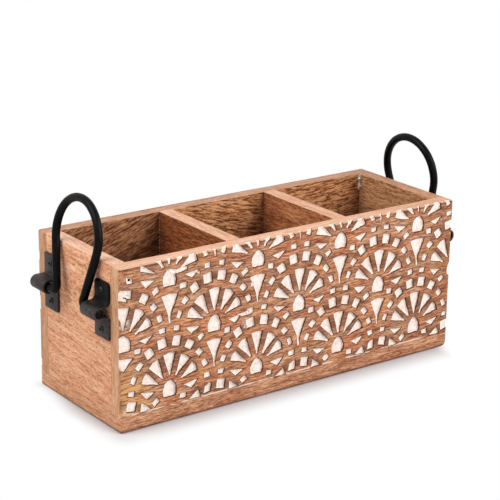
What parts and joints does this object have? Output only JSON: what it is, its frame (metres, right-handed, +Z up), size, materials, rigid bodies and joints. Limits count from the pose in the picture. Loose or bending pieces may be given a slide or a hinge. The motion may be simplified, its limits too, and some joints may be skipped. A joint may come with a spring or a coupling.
{
  "type": "utensil caddy",
  "caption": "Long open-topped wooden caddy with divided compartments, carved and whitened long sides, and a swinging iron bail handle at each end.",
  "frame": {"origin": "on the floor under the middle of the box", "axes": "+X along the length to the right, +Y from the carved front to the back, +Z up"},
  "size_m": [0.36, 0.12, 0.1749],
  "materials": {
    "plain_board": "waxed",
    "carved_panel": "waxed, recesses whitened",
    "black_iron": "satin black",
    "black_screw": "satin black",
    "nail_steel": "dull"
  },
  "bodies": {
    "caddy": {"base_board": "plain_board", "front_panel": "carved_panel", "back_panel": "carved_panel", "left_end_panel": "plain_board", "right_end_panel": "plain_board", "left_divider": "plain_board", "right_divider": "plain_board", "left_front_strap": "black_iron", "left_rear_strap": "black_iron", "right_front_strap": "black_iron", "right_rear_strap": "black_iron", "left_front_strap_screws": "black_screw", "left_rear_strap_screws": "black_screw", "right_front_strap_screws": "black_screw", "right_rear_strap_screws": "black_screw", "front_panel_nails": "nail_steel", "back_panel_nails": "nail_steel", "base_nails": "nail_steel"},
    "left_handle": {"left_handle": "black_iron"},
    "right_handle": {"right_handle": "black_iron"}
  },
  "joints": [
    {"name": "left_handle_swing", "type": "hinge", "parent": "caddy", "child": "left_handle", "pos_m": [-0.1744, 0, 0.094], "axis": [0, -1, 0], "range_deg": [0, 193.4]},
    {"name": "right_handle_swing", "type": "hinge", "parent": "caddy", "child": "right_handle", "pos_m": [0.1744, 0, 0.094], "axis": [0, 1, 0], "range_deg": [-3.1, 190.3]}
  ]
}
